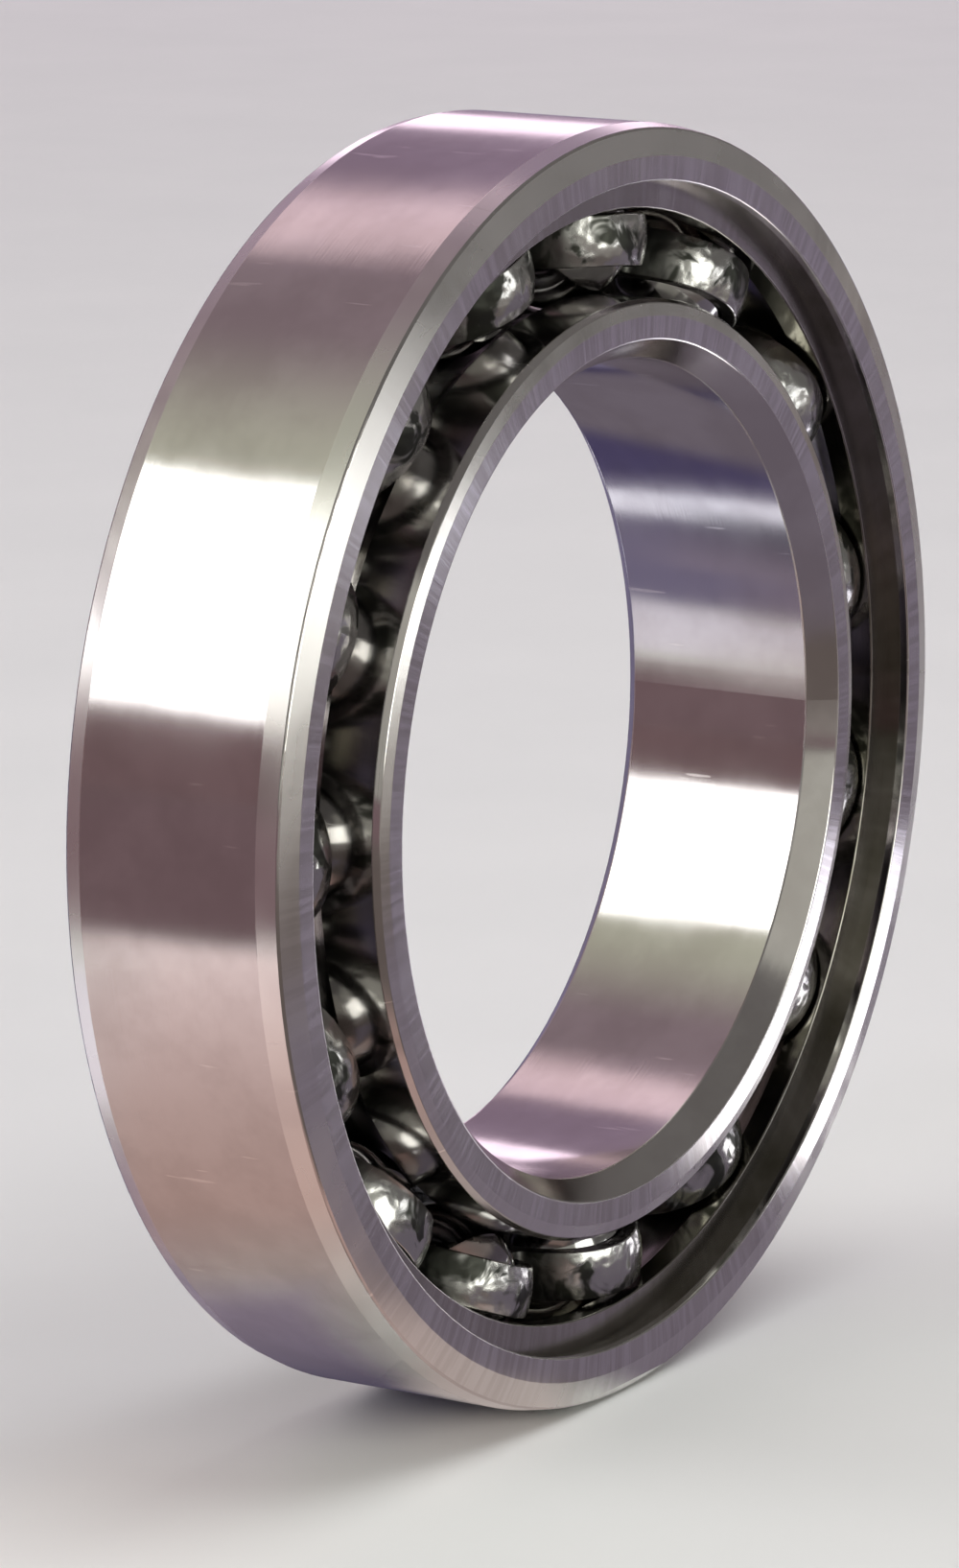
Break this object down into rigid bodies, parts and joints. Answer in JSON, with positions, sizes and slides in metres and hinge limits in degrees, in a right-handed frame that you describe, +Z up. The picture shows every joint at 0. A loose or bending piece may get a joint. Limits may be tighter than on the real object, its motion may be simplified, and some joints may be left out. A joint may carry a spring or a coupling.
{
  "type": "angular contact ball bearing",
  "caption": "Thin-section single-row angular contact ball bearing with an open front, a riveted pressed-steel cage and free-rolling balls.",
  "frame": {"origin": "centre of the bearing, on its axis, midway between the two faces", "axes": "+Y along the bearing axis from the front (thrust side of the outer ring, open recess) to the back; +Z up, +X square to both"},
  "size_m": [0.047, 0.009, 0.047],
  "materials": {
    "ring_steel": "ground and honed hardened bearing steel",
    "ball_steel": "polished bearing steel with a film of oil",
    "cage_steel": "pressed sheet steel, dark and oily",
    "rivet_steel": "closed round-head rivets, oily"
  },
  "bodies": {
    "outer_ring": {"outer_ring": "ring_steel"},
    "inner_ring": {"inner_ring": "ring_steel"},
    "cage": {"cage_front_half": "cage_steel", "cage_back_half": "cage_steel", "cage_rivets": "rivet_steel"},
    "ball_01": {"ball_01": "ball_steel"},
    "ball_02": {"ball_02": "ball_steel"},
    "ball_03": {"ball_03": "ball_steel"},
    "ball_04": {"ball_04": "ball_steel"},
    "ball_05": {"ball_05": "ball_steel"},
    "ball_06": {"ball_06": "ball_steel"},
    "ball_07": {"ball_07": "ball_steel"},
    "ball_08": {"ball_08": "ball_steel"},
    "ball_09": {"ball_09": "ball_steel"},
    "ball_10": {"ball_10": "ball_steel"},
    "ball_11": {"ball_11": "ball_steel"},
    "ball_12": {"ball_12": "ball_steel"},
    "ball_13": {"ball_13": "ball_steel"},
    "ball_14": {"ball_14": "ball_steel"},
    "ball_15": {"ball_15": "ball_steel"}
  },
  "joints": [
    {"name": "inner_ring_spin", "type": "hinge", "parent": "outer_ring", "child": "inner_ring", "pos_m": [0, 0, 0], "axis": [0, 1, 0], "continuous": true},
    {"name": "cage_orbit", "type": "hinge", "parent": "outer_ring", "child": "cage", "pos_m": [0, 0, 0], "axis": [0, 1, 0], "continuous": true},
    {"name": "ball_01_spin", "type": "hinge", "parent": "cage", "child": "ball_01", "pos_m": [0.01883, 0, 0.004], "axis": [0.4134, 0.9063, 0.0879], "continuous": true},
    {"name": "ball_02_spin", "type": "hinge", "parent": "cage", "child": "ball_02", "pos_m": [0.01557, 0, 0.01131], "axis": [0.3419, 0.9063, 0.2484], "continuous": true},
    {"name": "ball_03_spin", "type": "hinge", "parent": "cage", "child": "ball_03", "pos_m": [0.00962, 0, 0.01667], "axis": [0.2113, 0.9063, 0.366], "continuous": true},
    {"name": "ball_04_spin", "type": "hinge", "parent": "cage", "child": "ball_04", "pos_m": [0.00201, 0, 0.01914], "axis": [0.0442, 0.9063, 0.4203], "continuous": true},
    {"name": "ball_05_spin", "type": "hinge", "parent": "cage", "child": "ball_05", "pos_m": [-0.00595, 0, 0.01831], "axis": [-0.1306, 0.9063, 0.4019], "continuous": true},
    {"name": "ball_06_spin", "type": "hinge", "parent": "cage", "child": "ball_06", "pos_m": [-0.01288, 0, 0.01431], "axis": [-0.2828, 0.9063, 0.3141], "continuous": true},
    {"name": "ball_07_spin", "type": "hinge", "parent": "cage", "child": "ball_07", "pos_m": [-0.01759, 0, 0.00783], "axis": [-0.3861, 0.9063, 0.1719], "continuous": true},
    {"name": "ball_08_spin", "type": "hinge", "parent": "cage", "child": "ball_08", "pos_m": [-0.01925, 0, 0], "axis": [-0.4226, 0.9063, 0], "continuous": true},
    {"name": "ball_09_spin", "type": "hinge", "parent": "cage", "child": "ball_09", "pos_m": [-0.01759, 0, -0.00783], "axis": [-0.3861, 0.9063, -0.1719], "continuous": true},
    {"name": "ball_10_spin", "type": "hinge", "parent": "cage", "child": "ball_10", "pos_m": [-0.01288, 0, -0.01431], "axis": [-0.2828, 0.9063, -0.3141], "continuous": true},
    {"name": "ball_11_spin", "type": "hinge", "parent": "cage", "child": "ball_11", "pos_m": [-0.00595, 0, -0.01831], "axis": [-0.1306, 0.9063, -0.4019], "continuous": true},
    {"name": "ball_12_spin", "type": "hinge", "parent": "cage", "child": "ball_12", "pos_m": [0.00201, 0, -0.01914], "axis": [0.0442, 0.9063, -0.4203], "continuous": true},
    {"name": "ball_13_spin", "type": "hinge", "parent": "cage", "child": "ball_13", "pos_m": [0.00962, 0, -0.01667], "axis": [0.2113, 0.9063, -0.366], "continuous": true},
    {"name": "ball_14_spin", "type": "hinge", "parent": "cage", "child": "ball_14", "pos_m": [0.01557, 0, -0.01131], "axis": [0.3419, 0.9063, -0.2484], "continuous": true},
    {"name": "ball_15_spin", "type": "hinge", "parent": "cage", "child": "ball_15", "pos_m": [0.01883, 0, -0.004], "axis": [0.4134, 0.9063, -0.0879], "continuous": true}
  ],
  "couplings": [
    {"joint": "cage_orbit", "follows": "inner_ring_spin", "ratio": 0.43461},
    {"joint": "ball_01_spin", "follows": "inner_ring_spin", "ratio": -3.4055},
    {"joint": "ball_02_spin", "follows": "inner_ring_spin", "ratio": -3.4055},
    {"joint": "ball_03_spin", "follows": "inner_ring_spin", "ratio": -3.4055},
    {"joint": "ball_04_spin", "follows": "inner_ring_spin", "ratio": -3.4055},
    {"joint": "ball_05_spin", "follows": "inner_ring_spin", "ratio": -3.4055},
    {"joint": "ball_06_spin", "follows": "inner_ring_spin", "ratio": -3.4055},
    {"joint": "ball_07_spin", "follows": "inner_ring_spin", "ratio": -3.4055},
    {"joint": "ball_08_spin", "follows": "inner_ring_spin", "ratio": -3.4055},
    {"joint": "ball_09_spin", "follows": "inner_ring_spin", "ratio": -3.4055},
    {"joint": "ball_10_spin", "follows": "inner_ring_spin", "ratio": -3.4055},
    {"joint": "ball_11_spin", "follows": "inner_ring_spin", "ratio": -3.4055},
    {"joint": "ball_12_spin", "follows": "inner_ring_spin", "ratio": -3.4055},
    {"joint": "ball_13_spin", "follows": "inner_ring_spin", "ratio": -3.4055},
    {"joint": "ball_14_spin", "follows": "inner_ring_spin", "ratio": -3.4055},
    {"joint": "ball_15_spin", "follows": "inner_ring_spin", "ratio": -3.4055}
  ]
}
